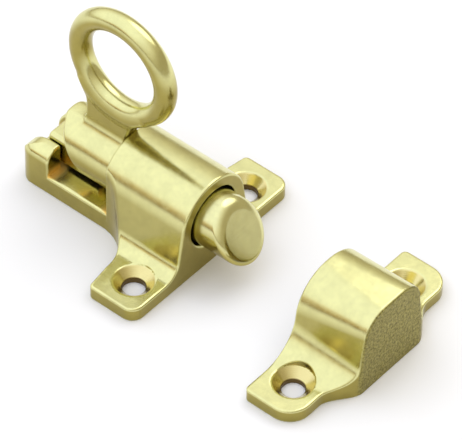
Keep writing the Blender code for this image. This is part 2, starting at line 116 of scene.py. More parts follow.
floor_mesh = bpy.data.meshes.new("floor")
floor_corners = [(-floor_half, -floor_half), (floor_half, -floor_half),
                 (floor_half, floor_half), (-floor_half, floor_half)]
floor_mesh.from_pydata([(x * MM, y * MM, 0.0) for x, y in floor_corners], [], [(0, 1, 2, 3)])
floor = bpy.data.objects.new("floor", floor_mesh)
floor.location.z = -floor_drop * MM
bpy.context.scene.collection.objects.link(floor)
table_paint = bpy.data.materials.new("table_paint")
table_paint.use_nodes = True
table_shader = table_paint.node_tree.nodes["Principled BSDF"]
table_shader.inputs["Base Color"].default_value = floor_colour
table_shader.inputs["Roughness"].default_value = 0.9
table_shader.inputs["Specular IOR Level"].default_value = 0.0
floor_mesh.materials.append(table_paint)


def placed(tree, kind, inputs=(), **settings):
    """A new node with its settings. An input that is given a socket is linked to it."""
    node = tree.nodes.new(kind)
    for setting, value in settings.items():
        setattr(node, setting, value)
    for socket, value in inputs:
        if isinstance(value, bpy.types.NodeSocket):
            tree.links.new(value, node.inputs[socket])
        else:
            node.inputs[socket].default_value = value
    return node


def number(tree, operation, first, second=0.0, third=0.0):
    """One step of arithmetic. MULTIPLY_ADD gives the first number times the second, plus the third."""
    inputs = ((0, first), (1, second), (2, third))
    return placed(tree, "ShaderNodeMath", inputs, operation=operation).outputs["Value"]


def eased(tree, value, start, end, low=0.0, high=1.0):
    """A smooth step of a value: low up to start, high from end on, and between them an S curve.

    The curve's share is three times the square of the way from start to end, less twice its cube.
    """
    inputs = (
        ("Value", value), ("From Min", start), ("From Max", end), ("To Min", low), ("To Max", high),
    )
    node = placed(tree, "ShaderNodeMapRange", inputs, interpolation_type="SMOOTHSTEP")
    return node.outputs["Result"]


def blended(tree, share, first, second, blend_type="MIX"):
    """The first colour where the share is 0. Where it's 1, the second colour, or the two multiplied."""
    inputs = (("Factor", share), (6, first), (7, second))
    node = placed(tree, "ShaderNodeMix", inputs, data_type="RGBA", blend_type=blend_type)
    return node.outputs[2]


def coordinate(tree, vector, axis):
    """One coordinate of a vector."""
    return placed(tree, "ShaderNodeSeparateXYZ", (("Vector", vector),)).outputs[axis]


def cosine(tree, first, second):
    """The cosine of the angle between two unit vectors, which is their dot product."""
    inputs = ((0, first), (1, second))
    return placed(tree, "ShaderNodeVectorMath", inputs, operation="DOT_PRODUCT").outputs["Value"]


def tent_sky(name):
    """A world with one broad bright side, a warm hem where the tent meets the table, and a dim opening.

    The bright side and the opening are smooth steps of the cosine between the direction and their
    middles. The strength is the cloth's times a smooth step of the direction's height, plus the hem's,
    and the opening dims it. The same step times the bright side is the share of the bright colour.
    """
    world = bpy.data.worlds.new(name)
    world.use_nodes = True
    tree = world.node_tree
    direction = placed(tree, "ShaderNodeTexCoord").outputs["Generated"]
    bright = cosine(tree, direction, tent_bright_side)
    bright = eased(tree, bright, tent_bright_rim, tent_bright_core)
    opening = cosine(tree, direction, tent_opening_side)
    opening = eased(tree, opening, tent_opening_rim, tent_opening_core)
    above = eased(tree, coordinate(tree, direction, "Z"), tent_hem_foot, tent_hem_top)
    cloth = number(tree, "MULTIPLY_ADD", bright, tent_bright_extra, tent_plain)
    strength = number(
        tree, "MULTIPLY",
        number(tree, "MULTIPLY_ADD", cloth, above, tent_hem_strength),
        number(tree, "MULTIPLY_ADD", opening, tent_opening_dimming, 1.0),
    )
    background = tree.nodes["Background"]
    tree.links.new(strength, background.inputs["Strength"])
    share = number(tree, "MULTIPLY", bright, above)
    colour = blended(tree, share, tent_shade_colour, tent_bright_colour)
    colour = blended(tree, opening, colour, tent_opening_colour)
    tree.links.new(colour, background.inputs["Color"])
    return world


bpy.context.scene.world = tent_sky("tent_sky")


def soft_lamp(name, place, aim, size, power):
    """A round area lamp at a place in millimetres, facing a point."""
    lamp = bpy.data.objects.new(name, bpy.data.lights.new(name, "AREA"))
    lamp.data.shape = "DISK"
    lamp.data.size = size * MM
    lamp.data.energy = power
    away = np.array(place, float) - np.array(aim, float)
    away /= np.linalg.norm(away)
    side = np.cross((0.0, 0.0, 1.0), away)
    side /= np.linalg.norm(side)
    lamp.matrix_world = placing(side, np.cross(away, side), away, place)
    bpy.context.scene.collection.objects.link(lamp)
    return lamp


soft_lamp("back_lamp", lamp_place, lamp_aim, lamp_width, lamp_power)


# Body casting
# One sand-cast brass piece: base plate with two screwed ears, the barrel that houses the bolt, and
# the tail with its forked lug. It's polished all over, and its front face is linished flat.
front_x = 5.6
ear_half = 22.5
ear_depth = 11.2
ear_top = 3.0
ear_front_corner = 2.6
ear_rear_corner = 1.1
ear_rear_lean = 0.7
sweep_radius = 9.0
tail_half = 7.6
tail_top = 4.3
tail_rear_x = front_x - 42.0
tail_corner = 3.2
edge_round = 0.6
axis_z = 11.3
barrel_radius = 8.8
barrel_draft = math.radians(10.0)
barrel_rear_x = front_x - 20.0
barrel_blend = 3.0
barrel_front_round = 0.45
barrel_rear_round = 0.5
bore_radius = 6.25
bore_round = 0.5
bore_end_x = barrel_rear_x + 3.0
shank_hole_radius = 2.8
tail_front_x = barrel_rear_x + 1.5
lug_front_x = tail_rear_x + 7.5
lug_top = 9.9
lug_back_round = 5.0
lug_side_round = 2.8
fork_half = 3.6
lug_edge_round = 0.5
screw_y = 16.0
screw_radius = 2.2
head_radius = 4.0
head_land = 0.05
hole_round = 0.2
foot_round = 0.15
# Tones for upper faces, for walls, where the darker tone is painted shade, and for corners, where the gold
# is a painted reflection of bounced light.
casting_tones_and_painted_light = ((0.71, 0.69, 0.32), (0.37, 0.31, 0.08), (0.86, 0.62, 0.18))
countersink_tone = (0.78, 0.60, 0.25, 1.0)
countersink_tint = 0.4
screw_wall_tone = (0.15, 0.10, 0.035, 1.0)
cutter_pitch = 0.24
mop_relief = 0.09
belt_depth = 0.05
belt_fade = 0.3


def arc_points(centre, radius, start, end, steps):
    """Points on a circular arc, one column for each coordinate, with the angles in degrees."""
    angle = np.radians(np.linspace(start, end, steps))
    return np.stack([centre[0] + radius * np.cos(angle), centre[1] + radius * np.sin(angle)], 1)


def mirrored(half):
    """A closed outline: half of it, above the first axis, and the same half reflected below."""
    return np.concatenate([half, half[::-1] * (1.0, -1.0)])


def outline_distance(u, v, outline):
    """The signed distance to a closed outline, negative inside.

    It is the smallest distance to any side, and a point is inside where a ray from it crosses an
    odd number of sides.
    """
    nearest = np.full(np.broadcast_shapes(u.shape, v.shape), np.inf)
    inside = np.zeros(nearest.shape, bool)
    for (au, av), (bu, bv) in zip(outline, np.roll(outline, -1, axis=0)):
        du, dv = bu - au, bv - av
        length = du * du + dv * dv
        if length == 0.0:
            continue
        along = np.clip(((u - au) * du + (v - av) * dv) / length, 0.0, 1.0)
        nearest = np.minimum(nearest, (u - au - along * du) ** 2 + (v - av - along * dv) ** 2)
        if dv != 0.0:
            inside ^= ((av > v) != (bv > v)) & (u < au + du * (v - av) / dv)
    return np.where(inside, -1.0, 1.0) * np.sqrt(nearest)


def rounded_both(a, b, radius):
    """The solid common to two distance fields, with a round of this radius along the edge.

    Less than a radius inside both, it is the hypotenuse of the two distances counted from there, less
    the radius. Elsewhere it is the greater distance.
    """
    corner = np.hypot(np.maximum(radius + a, 0.0), np.maximum(radius + b, 0.0))
    return np.minimum(-radius, np.maximum(a, b)) + corner


def filleted(a, b, radius):
    """The solid that either of two distance fields fills, with a fillet of this radius between them.

    Less than a radius outside both, it is the radius less the hypotenuse of what each distance falls
    short of it. Elsewhere it is the lesser distance.
    """
    corner = np.hypot(np.maximum(radius - a, 0.0), np.maximum(radius - b, 0.0))
    return np.maximum(radius, np.minimum(a, b)) - corner


def crown_distance(y, z, half_width, corner, top, draft):
    """The distance to an arch seen from its end: round corners of one radius, tangent to drafted sides.

    Above the line where side and corner meet it is the hypotenuse from the corner's middle, and below
    it the distance to the sloping side, both less the corner's radius. Between the corners it's flat.
    """
    out = np.abs(y) - (half_width - corner)
    rise = z - (top - corner)
    side = out * math.cos(draft) + rise * math.sin(draft) - corner
    round_part = np.hypot(out, rise) - corner
    arch = np.where(rise * math.cos(draft) > out * math.sin(draft), round_part, side)
    return np.where((out < 0.0) & (rise > 0.0), rise - corner, arch)


def countersunk_hole(x, y, z, hole_x, top):
    """The distance to the screw holes at both sides: a straight hole under a right-angled cone.

    The cone is the distance from the axis less the head's radius and the height above the ear's face,
    times the cosine of 45 degrees.
    """
    off = np.hypot(x - hole_x, np.abs(y) - screw_y)
    cone = (off - head_radius - (z - top)) * math.sqrt(0.5)
    return np.minimum(off - screw_radius, np.maximum(cone, off - head_radius - head_land))


ear_back = front_x - ear_depth
sweep_x = ear_back - ear_rear_lean - sweep_radius
base_plan = mirrored(np.concatenate([
    arc_points((front_x - ear_front_corner, ear_half - ear_front_corner), ear_front_corner, 0, 90, 16),
    arc_points((ear_back + ear_rear_corner, ear_half - ear_rear_corner), ear_rear_corner, 90, 165, 12),
    arc_points((sweep_x, tail_half + sweep_radius), sweep_radius, 0, -90, 48),
    arc_points((tail_rear_x + tail_corner, tail_half - tail_corner), tail_corner, 90, 180, 12),
]))
tail_plan = mirrored(np.concatenate([
    [(tail_front_x, tail_half)],
    arc_points((tail_rear_x + tail_corner, tail_half - tail_corner), tail_corner, 90, 180, 12),
]))


def body_field(x, y, z):
    """The distance to the body casting: ear plate, barrel, tail and lug joined, and then the holes.

    Each form is the rounded meeting of its outline in plan with its height, and a hole is the rounded
    meeting of the casting with all that lies outside the hole.
    """
    plan = outline_distance(x, np.abs(y), base_plan)
    plate = rounded_both(plan, z - ear_top, edge_round)
    crown = crown_distance(y, z, barrel_radius, barrel_radius, axis_z + barrel_radius, barrel_draft)
    flare = filleted(z - ear_top, crown, barrel_blend)
    barrel = rounded_both(flare, plan, barrel_front_round)
    barrel = rounded_both(barrel, barrel_rear_x - x, barrel_rear_round)

    tail_outline = outline_distance(x, np.abs(y), tail_plan)
    tail = rounded_both(tail_outline, z - tail_top, edge_round)
    lug_side = rounded_both(z - lug_top, tail_rear_x - x, lug_back_round)
    lug = np.maximum(lug_side, rounded_both(z - lug_top, tail_outline, lug_side_round))
    lug = rounded_both(lug, x - lug_front_x, lug_edge_round)
    lug = rounded_both(lug, fork_half - np.abs(y), lug_edge_round)

    body = np.minimum(np.minimum(plate, barrel), np.minimum(tail, lug))
    off_axis = np.hypot(y, z - axis_z)
    bore = np.minimum(np.maximum(off_axis - bore_radius, bore_end_x - x), off_axis - shank_hole_radius)
    body = rounded_both(body, -bore, bore_round)
    body = rounded_both(body, -countersunk_hole(x, y, z, 0.0, ear_top), hole_round)
    return rounded_both(body, -z, foot_round)


def slopes(field, points, step):
    """The field's gradient at each point, by differences over one short step each way."""
    columns = []
    for axis in range(3):
        shift = np.zeros(3)
        shift[axis] = step
        ahead = field(*(points + shift).T)
        behind = field(*(points - shift).T)
        columns.append((ahead - behind) / (2.0 * step))
    return np.stack(columns, 1)


def shelter(field, points, normals):
    """How hemmed in each point is, from 0 in the open to about 1 deep in a corner.

    At a few distances straight out from the surface, it is the share by which the field falls short of
    the distance, averaged.
    """
    distances = (0.8, 1.8, 3.6)
    short = [1.0 - field(*(points + normals * out).T) / out for out in distances]
    return np.clip(np.mean(short, axis=0), 0.0, 1.0)


def sharpness(field, points):
    """How sharp a convex edge each point is on, by the field's Laplacian. Hollows are negative.

    It is the sum of the field at a short reach both ways along each axis, less six times the field at
    the point, over the square of the reach.
    """
    reach = 0.3
    total = -6.0 * field(*points.T)
    for axis in range(3):
        shift = np.zeros(3)
        shift[axis] = reach
        total += field(*(points + shift).T) + field(*(points - shift).T)
    return total / reach**2


def surface_value(item, name, values):
    """Stores one number for each vertex, which a material reads by its name."""
    attribute = item.data.attributes.new(name, "FLOAT", "POINT")
    attribute.data.foreach_set("value", values.astype(np.float32))


def cast_skin(name, field, low, high, pitch):
    """The surface on which a distance field is zero, as a closed mesh of quads.

    The field is sampled on a cubic grid. Each cell that the surface crosses gets a point, at the mean
    of the crossings on its edges, and each grid edge that it crosses gets a quad between the points of
    the four cells round that edge. Every point then slides down the gradient onto the surface, and
    takes the gradient's direction as its normal.
    """
    margin = 1.6 * pitch
    slides = 2
    slide_step = 0.02
    normal_step = 0.04
    least_steep = 0.25
    axes = [np.arange(lo - margin, hi + margin + pitch, pitch) for lo, hi in zip(low, high)]
    values = field(*np.ix_(*axes))
    inside = values < 0.0
    corners = np.array([(i, j, k) for i in (0, 1) for j in (0, 1) for k in (0, 1)])
    cell_shape = tuple(n - 1 for n in values.shape)
    full = np.zeros(cell_shape, np.int8)
    for i, j, k in corners:
        full += inside[i:i + cell_shape[0], j:j + cell_shape[1], k:k + cell_shape[2]]
    cells = np.argwhere((full > 0) & (full < 8))
    index = np.full(cell_shape, -1)
    index[tuple(cells.T)] = np.arange(len(cells))

    edges = np.array([
        (a, b) for a in range(8) for b in range(a, 8) if np.abs(corners[a] - corners[b]).sum() == 1
    ])
    around = cells[:, None, :] + corners[None, :, :]
    at_corners = values[around[..., 0], around[..., 1], around[..., 2]]
    start, end = at_corners[:, edges[:, 0]], at_corners[:, edges[:, 1]]
    crossed = (start < 0.0) != (end < 0.0)
    share = np.where(crossed, start / np.where(crossed, start - end, 1.0), 0.0)
    crossing = corners[edges[:, 0]] + share[..., None] * (corners[edges[:, 1]] - corners[edges[:, 0]])
    middle = (crossing * crossed[..., None]).sum(1) / crossed.sum(1)[:, None]
    points = np.array([axis[0] for axis in axes]) + (cells + middle) * pitch

    quads = []
    for axis in range(3):
        u, v = np.eye(3, dtype=int)[(axis + 1) % 3], np.eye(3, dtype=int)[(axis + 2) % 3]
        near = np.take(inside, range(inside.shape[axis] - 1), axis)
        far = np.take(inside, range(1, inside.shape[axis]), axis)
        for leaving, order in ((near & ~far, (0, 1, 2, 3)), (far & ~near, (3, 2, 1, 0))):
            edge = np.argwhere(leaving)
            ring = np.stack([edge, edge - u, edge - u - v, edge - v], 1)[:, order]
            quads.append(index[ring[..., 0], ring[..., 1], ring[..., 2]])
    quads = np.concatenate(quads)

    for _ in range(slides):
        slope = slopes(field, points, slide_step)
        steep = np.maximum((slope**2).sum(1), least_steep)
        move = slope * (field(*points.T) / steep)[:, None]
        points -= np.clip(move, -pitch / 2.0, pitch / 2.0)
    slope = slopes(field, points, normal_step)
    normals = slope / np.linalg.norm(slope, axis=1)[:, None]
    item = skin_mesh(name, points, quads, normals)
    surface_value(item, "recess", shelter(field, points, normals))
    surface_value(item, "edge", sharpness(field, points))
    return item


def skin_mesh(name, points, faces, normals):
    """A smooth-shaded object in the frame of the part, from points in millimetres and their normals."""
    mesh = bpy.data.meshes.new(name)
    mesh.vertices.add(len(points))
    mesh.vertices.foreach_set("co", (points * MM).astype(np.float32).ravel())
    mesh.loops.add(faces.size)
    mesh.loops.foreach_set("vertex_index", faces.astype(np.int32).ravel())
    mesh.polygons.add(len(faces))
    mesh.polygons.foreach_set("loop_start", np.arange(0, faces.size, faces.shape[1], dtype=np.int32))
    mesh.update(calc_edges=True)
    mesh.validate()
    mesh.shade_smooth()
    mesh.normals_split_custom_set_from_vertices(normals.tolist())
    item = bpy.data.objects.new(name, mesh)
    bpy.context.scene.collection.objects.link(item)
    return item


body = cast_skin(
    "body_skin", body_field, (tail_rear_x, -ear_half, 0.0), (front_x, ear_half, axis_z + barrel_radius),
    pitch=0.3,
)
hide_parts("body_casting")
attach(body, "catch_body")


def store_drilled(item, hole_x):
    """Stores each point's distance from the axis of its screw hole, in millimetres."""
    places = np.empty(len(item.data.vertices) * 3, np.float32)
    item.data.vertices.foreach_get("co", places)
    x, y, _ = places.reshape(-1, 3).T / MM
    surface_value(item, "drilled", np.hypot(x - hole_x, np.abs(y) - screw_y))


def noise(tree, position, scale, detail, roughness):
    """Cloudy noise about 0.5, with scale waves per unit of position and detail finer layers of it."""
    inputs = (("Vector", position), ("Scale", scale), ("Detail", detail), ("Roughness", roughness))
    return placed(tree, "ShaderNodeTexNoise", inputs).outputs["Fac"]


def stretched(tree, position, factors):
    """A position with each coordinate times its own factor, so that noise on it is drawn out."""
    inputs = ((0, position), (1, factors))
    return placed(tree, "ShaderNodeVectorMath", inputs, operation="MULTIPLY").outputs["Vector"]


def stored(tree, name):
    """The number that surface_value put on the mesh under this name."""
    return placed(tree, "ShaderNodeAttribute", attribute_name=name).outputs["Fac"]


def shader_group(name, inputs, outputs):
    """An empty shader node group. It gives the group, its inputs and the sockets of its outputs."""
    group = bpy.data.node_groups.new(name, "ShaderNodeTree")
    for socket, kind in inputs:
        group.interface.new_socket(socket, in_out="INPUT", socket_type=kind)
    for socket, kind in outputs:
        group.interface.new_socket(socket, in_out="OUTPUT", socket_type=kind)
    given = group.nodes.new("NodeGroupInput").outputs
    return group, given, group.nodes.new("NodeGroupOutput").inputs


def mop_marks():
    """Marks of the polishing mop: broad shallow hollows, and fine scratches drawn out along one way.

    Height adds a coarse noise and a fine noise on stretched coordinates. Blur is a middling noise.
    """
    group, given, out = shader_group(
        "mop_marks",
        [("Position", "NodeSocketVector"), ("Hollows", "NodeSocketFloat"),
         ("Scratches", "NodeSocketFloat"), ("Scratch Way", "NodeSocketVector")],
        [("Height", "NodeSocketFloat"), ("Blur", "NodeSocketFloat")],
    )
    blur_span = (0.35, 0.75)
    hollow = noise(group, given["Position"], scale=210.0, detail=2.0, roughness=0.45)
    hollow = number(group, "MULTIPLY", hollow, given["Hollows"])
    drawn = stretched(group, given["Position"], given["Scratch Way"])
    scratch = noise(group, drawn, scale=1.0, detail=5.0, roughness=0.75)
    scratch = number(group, "MULTIPLY", scratch, given["Scratches"])
    blur = noise(group, given["Position"], scale=520.0, detail=4.0, roughness=0.65)
    group.links.new(number(group, "ADD", hollow, scratch), out["Height"])
    group.links.new(eased(group, blur, *blur_span), out["Blur"])
    return group


def brass_tone_and_painted_light():
    """Brass over one casting, with painted shade on the walls and a painted gold reflection in corners.

    The wall colour is painted shade, as if upright faces reflected a dim floor. Its share falls as the
    surface turns upwards, and on worn edges by the edge attribute. Corners take the deep colour, a
    painted reflection of light bounced between brass faces, by the recess attribute. A mottle moves
    the colour a few parts in a hundred. Dullness is the share of the deep colour.
    """
    group, given, out = shader_group(
        "brass_tone_and_painted_light",
        [("Position", "NodeSocketVector"), ("Bright", "NodeSocketColor"), ("Painted Wall Shade", "NodeSocketColor"),
         ("Painted Bounce", "NodeSocketColor")],
        [("Color", "NodeSocketColor"), ("Dullness", "NodeSocketFloat")],
    )
    painted_shade_upward_span = (0.02, 0.46)
    edge_sharpness = (0.7, 2.2)
    edge_wear = 0.5
    corner_recess = (0.11, 0.58)
    corner_mottle = 0.16
    mottle_span = (0.25, 0.75)
    mottle_shade = (0.93, 1.04)
    facing = placed(group, "ShaderNodeTexCoord").outputs["Normal"]
    # Upright faces take the wall colour, which is painted shade.
    painted_wall_shade_share = eased(group, coordinate(group, facing, "Z"), *painted_shade_upward_span, low=1.0, high=0.0)
    worn = eased(group, stored(group, "edge"), *edge_sharpness, high=edge_wear)
    colour = blended(group, number(group, "SUBTRACT", painted_wall_shade_share, worn), given["Bright"], given["Painted Wall Shade"])
    mottle = noise(group, given["Position"], scale=380.0, detail=3.0, roughness=0.6)
    hemmed_in = number(group, "MULTIPLY_ADD", mottle, corner_mottle, stored(group, "recess"))
    # Corners take the deep colour, a painted reflection of light bounced between brass faces.
    painted_bounce_and_dullness_share = eased(group, hemmed_in, *corner_recess)
    colour = blended(group, painted_bounce_and_dullness_share, colour, given["Painted Bounce"])
    shade = eased(group, mottle, *mottle_span, *mottle_shade)
    grey = placed(group, "ShaderNodeCombineXYZ", (("X", shade), ("Y", shade), ("Z", shade)))
    colour = blended(group, 1.0, colour, grey.outputs["Vector"], "MULTIPLY")
    group.links.new(colour, out["Color"])
    group.links.new(painted_bounce_and_dullness_share, out["Dullness"])
    return group


tone_and_painted_light_group = brass_tone_and_painted_light()
mop_marks_group = mop_marks()


def brass(name, bright, wall, corner_bounce_painted, scratches=1.0, hollows=0.6):
    """Brass with mop marks. It gives the material, and the sockets that a special finish changes.

    Its roughness is the polish's, plus what dull corners add, plus what the mop's blur adds.
    """
    polished_roughness = 0.19
    dull_roughness = 0.42
    blurred_roughness = 0.07
    scratch_height = 0.05
    scratch_way = (300.0, 2600.0, 1700.0)
    material = bpy.data.materials.new(name)
    material.use_nodes = True
    tree = material.node_tree
    position = placed(tree, "ShaderNodeTexCoord").outputs["Object"]
    tone = placed(tree, "ShaderNodeGroup", node_tree=tone_and_painted_light_group)
    marks = placed(tree, "ShaderNodeGroup", node_tree=mop_marks_group)
    # The wall colour is painted shade and the deep colour a painted reflection of bounced light.
    for socket, value in (("Bright", bright), ("Painted Wall Shade", wall), ("Painted Bounce", corner_bounce_painted)):
        tone.inputs[socket].default_value = (*value, 1.0)
    tree.links.new(position, tone.inputs["Position"])
    tree.links.new(position, marks.inputs["Position"])
    marks.inputs["Hollows"].default_value = hollows
    marks.inputs["Scratches"].default_value = scratch_height * scratches
    marks.inputs["Scratch Way"].default_value = scratch_way
    dull = number(tree, "MULTIPLY_ADD", tone.outputs["Dullness"], dull_roughness, polished_roughness)
    roughness = number(tree, "MULTIPLY_ADD", marks.outputs["Blur"], blurred_roughness, dull)
    return material, tree, position, tone.outputs["Color"], roughness, marks.outputs["Height"]


def finish_metal(tree, colour, roughness, height, depth):
    """Wires a metal's colour, roughness and relief into its shader. The depth is in millimetres."""
    shader = tree.nodes["Principled BSDF"]
    shader.inputs["Metallic"].default_value = 1.0
    inputs = (("Strength", 1.0), ("Distance", depth * MM), ("Height", height))
    relief = placed(tree, "ShaderNodeBump", inputs)
    tree.links.new(colour, shader.inputs["Base Color"])
    tree.links.new(roughness, shader.inputs["Roughness"])
    tree.links.new(relief.outputs["Normal"], shader.inputs["Normal"])


def countersink_rings(tree, height):
    """Adds the cutter's rings to a relief, as a sine of the radius inside the countersink's edge."""
    ring_height = 0.012
    radius = stored(tree, "drilled")
    turns = number(tree, "SINE", number(tree, "MULTIPLY", radius, 2.0 * math.pi / cutter_pitch))
    share = eased(tree, radius, head_radius - head_land, head_radius + head_land, ring_height, 0.0)
    return number(tree, "MULTIPLY_ADD", turns, share, height)


def drilled_tone(tree, colour):
    """Warms the countersinks and turns the straight walls a dark brown.

    Both shares are smooth steps of the distance from the hole's axis.
    """
    fade = 0.2
    cone_rim = head_radius + head_land
    wall_rim = screw_radius + head_land
    radius = stored(tree, "drilled")
    cone = eased(tree, radius, cone_rim - fade, cone_rim, low=countersink_tint, high=0.0)
    colour = blended(tree, cone, colour, countersink_tone)
    wall = eased(tree, radius, wall_rim, wall_rim + fade, low=1.0, high=0.0)
    return blended(tree, wall, colour, screw_wall_tone)


def linished(tree, share, roughness, height):
    """Gives a share of the surface a belt's finish: duller, with straight fine grooves across it.

    The grooves are noise on coordinates that change fastest with height.
    """
    groove_way = (500.0, 260.0, 5200.0)
    groove_height = 0.10
    belt_roughness = 0.12
    position = placed(tree, "ShaderNodeTexCoord").outputs["Object"]
    across = stretched(tree, position, groove_way)
    grooves = noise(tree, across, scale=1.0, detail=3.0, roughness=0.7)
    grooves = number(tree, "MULTIPLY", grooves, share)
    return (
        number(tree, "MULTIPLY_ADD", share, belt_roughness, roughness),
        number(tree, "MULTIPLY_ADD", grooves, groove_height, height),
    )


def body_brass():
    """Mop-polished cast brass, whose front face at +X was linished on a belt."""
    material, tree, position, colour, roughness, height = brass("body_brass", *casting_tones_and_painted_light)
    belted_x = front_x - belt_depth
    front = eased(tree, coordinate(tree, position, "X"), (belted_x - belt_fade) * MM, belted_x * MM)
    roughness, height = linished(tree, front, roughness, height)
    height = countersink_rings(tree, height)
    finish_metal(tree, drilled_tone(tree, colour), roughness, height, mop_relief)
    return material


store_drilled(body, 0.0)
body.data.materials.append(body_brass())


# Keep
# The hollow arch that the bolt shoots into, cast in brass with two screwed ears. Its far end is
# left as it came from the mould, and the rest is polished.
keep_mouth_x = front_x + 26.9
keep_end_x = keep_mouth_x + 15.4
keep_half = 23.1
keep_ear_depth = 11.5
keep_ear_top = 2.8
keep_front_corner = 4.6
keep_top = (18.5, 18.1)
keep_width = (9.1, 7.9)
keep_corner = (8.6, 5.2)
keep_blend = (7.0, 4.6)
keep_draft = math.radians(8.0)
keep_shoulder = 7.6
keep_seam = 0.01
keep_mouth_corner = 1.1
keep_rim_round = 0.4
keep_hole_x = keep_mouth_x + 5.7
pocket_half = 6.3
pocket_end_x = keep_end_x - 2.4
pocket_round = 0.35
sand_depth = 0.12
sand_fade = 0.3
sand_tones = ((0.16, 0.135, 0.036, 1.0), (0.43, 0.385, 0.125, 1.0))

shoulder_share = np.linspace(0.0, 1.0, 24)
shoulder_ease = shoulder_share**2 * (3.0 - 2.0 * shoulder_share)
keep_ear_front = keep_mouth_x + keep_ear_depth
front_corner = (keep_ear_front - keep_front_corner, keep_half - keep_front_corner)
mouth_corner = (keep_mouth_x + keep_mouth_corner, keep_half - keep_mouth_corner)
keep_plan = mirrored(np.concatenate([
    [(keep_end_x, keep_seam)],
    np.stack([
        keep_end_x + (keep_ear_front - keep_end_x) * shoulder_ease,
        keep_width[1] + keep_shoulder * shoulder_share,
    ], 1),
    arc_points(front_corner, keep_front_corner, 0, 90, 20),
    arc_points(mouth_corner, keep_mouth_corner, 90, 180, 10),
]))


def keep_field(x, y, z):
    """The distance to the keep. Its arch changes evenly from the mouth's sizes to the far end's."""
    share = np.clip((x - keep_mouth_x) / (keep_end_x - keep_mouth_x), 0.0, 1.0)
    top, width, corner, blend = (
        first + (last - first) * share for first, last in (keep_top, keep_width, keep_corner, keep_blend)
    )
    plan = outline_distance(x, np.abs(y), keep_plan)
    plate = rounded_both(plan, z - keep_ear_top, edge_round)
    flare = filleted(z - keep_ear_top, crown_distance(y, z, width, corner, top, keep_draft), blend)
    keep = np.minimum(plate, rounded_both(flare, plan, keep_rim_round))
    pocket = np.where(z > axis_z, np.hypot(y, z - axis_z), np.abs(y)) - pocket_half
    keep = rounded_both(keep, -np.maximum(pocket, x - pocket_end_x), pocket_round)
    keep = rounded_both(keep, -countersunk_hole(x, y, z, keep_hole_x, keep_ear_top), hole_round)
    return rounded_both(keep, -z, foot_round)


keep = cast_skin(
    "keep_skin", keep_field, (keep_mouth_x, -keep_half, 0.0), (keep_end_x, keep_half, keep_top[0]),
    pitch=0.28,
)
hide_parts("keep")
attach(keep, "catch_body")


def keep_brass():
    """Mop-polished cast brass. The far end keeps its dull, grainy skin from the sand mould.

    The skin's colour follows the mean of a fine and a coarse noise, and its pits a weighted sum of them.
    """
    material, tree, position, colour, roughness, height = brass("keep_brass", *casting_tones_and_painted_light)
    speckle_span = (0.38, 0.62)
    sand_roughness = 0.28
    grain_in_pits = 0.6
    pit_height = 0.9
    sand_x = keep_end_x - sand_depth
    end = eased(tree, coordinate(tree, position, "X"), (sand_x - sand_fade) * MM, sand_x * MM)
    grain = noise(tree, position, scale=3200.0, detail=4.0, roughness=0.8)
    blotch = noise(tree, position, scale=1900.0, detail=3.0, roughness=0.6)
    mean = number(tree, "MULTIPLY_ADD", blotch, 0.5, number(tree, "MULTIPLY", grain, 0.5))
    skin = blended(tree, eased(tree, mean, *speckle_span), *sand_tones)
    colour = blended(tree, end, colour, skin)
    roughness = number(tree, "MULTIPLY_ADD", end, sand_roughness, roughness)
    pits = number(tree, "MULTIPLY", number(tree, "MULTIPLY_ADD", grain, grain_in_pits, blotch), end)
    height = number(tree, "MULTIPLY_ADD", pits, pit_height, countersink_rings(tree, height))
    finish_metal(tree, drilled_tone(tree, colour), roughness, height, mop_relief)
    return material


store_drilled(keep, keep_hole_x)
keep.data.materials.append(keep_brass())


# Ring pull
# One brass casting: the round block that slides behind the barrel, the web on it with the finger
# ring, and the tongue that runs in the fork. The block's end is cut to a slant.
block_radius = 6.2
block_front_x = barrel_rear_x - 0.4
block_rear_x = block_front_x - 10.2
block_slant = math.radians(34.0)
block_round = 0.7
block_blend = 2.0
socket_end_x = block_front_x - 7.3
ring_x = barrel_rear_x - 2.1
ring_z = 35.4
ring_mean = 10.3
ring_section = 2.2
ring_blend = 1.8
ring_overlap_radius = ring_mean + 1.0
ring_overlap_arc = (302.0, 218.0)
web_half = 1.8
web_round = 0.8
web_middle_x = ring_x - 2.9
web_foot = 4.4
web_waist = axis_z + block_radius + 4.4
web_base = axis_z + 3.1
heel_low = axis_z + block_radius - 0.5
heel_length = 4.4
heel_overlap = 2.0
heel_blend = 1.0
tongue_half = 3.3
tongue_bottom = 5.2
tongue_top = 10.6
tongue_front_x = block_rear_x + 5.0
tongue_rear_x = block_rear_x - 7.6
tongue_top_round = 1.2
tongue_rear_round = 0.6
tongue_blend = 0.4
pull_relief = 0.08


def drawn_curve(start, pull, end, steps):
    """Points on a quadratic curve from start to end, drawn towards pull.

    With a share s of the way, the weights of the three are (1 - s) squared, 2 s (1 - s) and s squared.
    """
    share = np.linspace(0.0, 1.0, steps)[:, None]
    weights = ((1 - share) ** 2, 2 * share * (1 - share), share**2)
    return sum(weight * np.array(point) for weight, point in zip(weights, (start, pull, end)))


under_ring = arc_points((ring_x, ring_z), ring_overlap_radius, *ring_overlap_arc, 20)
web_front = web_middle_x + web_foot
web_rear = web_middle_x - web_foot
web_outline = np.concatenate([
    drawn_curve((web_front, web_base), (web_front, web_waist), under_ring[0], steps=20),
    under_ring,
    drawn_curve(under_ring[-1], (web_rear, web_waist), (web_rear, web_base), steps=20),
])
heel_outline = np.concatenate([
    drawn_curve((web_rear, web_waist), (web_rear, heel_low), (web_rear - heel_length, heel_low), steps=20),
    [(web_rear + heel_overlap, web_base), (web_rear + heel_overlap, web_waist)],
])


